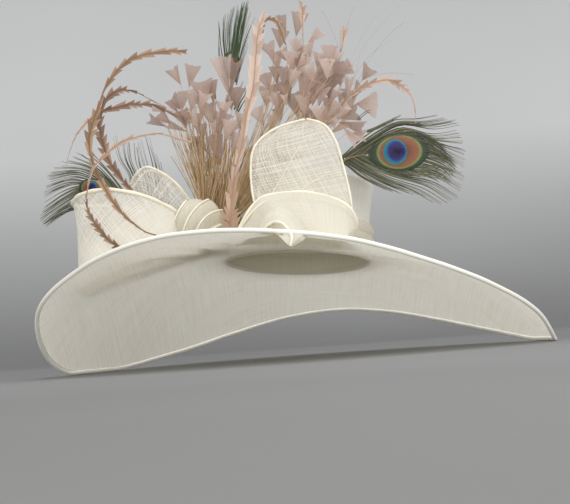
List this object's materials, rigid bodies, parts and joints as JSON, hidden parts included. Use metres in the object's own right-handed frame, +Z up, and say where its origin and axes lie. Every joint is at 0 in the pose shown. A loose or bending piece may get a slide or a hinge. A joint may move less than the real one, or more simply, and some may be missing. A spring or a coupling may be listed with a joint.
{
  "type": "wide-brim hat",
  "caption": "Ivory straw-weave wide-brim dress hat with a waved bound brim, flat-topped crown, large bow, mauve feather plumes, curled trimmed feathers and peacock feathers.",
  "frame": {"origin": "on the surface that the hat rests on, under the middle of its outline", "axes": "+X to the wearer's left, +Y to the back of the head, +Z up from the surface"},
  "size_m": [0.6064, 0.5894, 0.4394],
  "materials": {
    "weave": "open matt straw weave, ivory",
    "weave_warm": "open matt straw weave in several layers, cream",
    "binding": "satin bound edge, off-white",
    "feather_tan": "trimmed feather, matt tan brown",
    "feather_pink": "trimmed feather, matt dusty pink",
    "feather_mauve": "trimmed feather tips, matt mauve taupe",
    "peacock": "peacock feather, iridescent green and bronze",
    "straw": "dried straw strands, matt golden tan"
  },
  "bodies": {
    "root": {"brim": "weave", "brim_edge": "binding", "crown": "weave", "crown_sash": "weave_warm", "knot": "weave_warm", "loop_left_front": "weave", "loop_left_back": "weave", "loop_right_tall": "weave", "loop_right_low": "weave_warm", "loop_curl": "weave_warm", "feather_curl_high": "feather_tan", "feather_curl_low": "feather_pink", "feather_curl_middle": "feather_tan", "feather_tall": "feather_pink", "peacock_right": "peacock", "peacock_left": "peacock", "peacock_top": "peacock", "plume_left": "feather_mauve", "plume_right": "feather_mauve", "straw_spray": "straw"}
  },
  "joints": []
}
